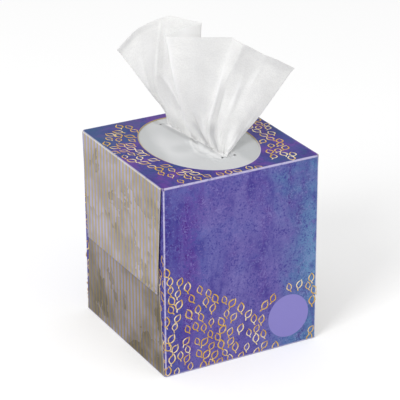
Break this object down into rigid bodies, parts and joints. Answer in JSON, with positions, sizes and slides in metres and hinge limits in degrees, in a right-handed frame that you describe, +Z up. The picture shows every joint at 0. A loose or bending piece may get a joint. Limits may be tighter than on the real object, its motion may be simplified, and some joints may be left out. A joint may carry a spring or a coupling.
{
  "type": "tissue box",
  "caption": "Upright folding carton with an oval slit film window, a bent pile of interfolded tissues and one tissue standing out of the slit.",
  "frame": {"origin": "middle of the carton's underside, on the surface it stands on", "axes": "+Z up; -Y is the carton's front panel; the folded flaps close the +X and -X sides"},
  "size_m": [0.1112, 0.11, 0.204],
  "materials": {
    "printed_board": "printed folding boxboard with a satin coat, raw pale grey-brown inside and at the cut edges",
    "window_film": "thin hazy polyethylene film, slightly crumpled at the slit",
    "tissue_paper": "soft white creped tissue, matte and faintly see-through"
  },
  "bodies": {
    "root": {"carton": "printed_board", "film_window": "window_film", "tissue_clip": "tissue_paper", "pop_up_tissue": "tissue_paper"}
  },
  "joints": []
}
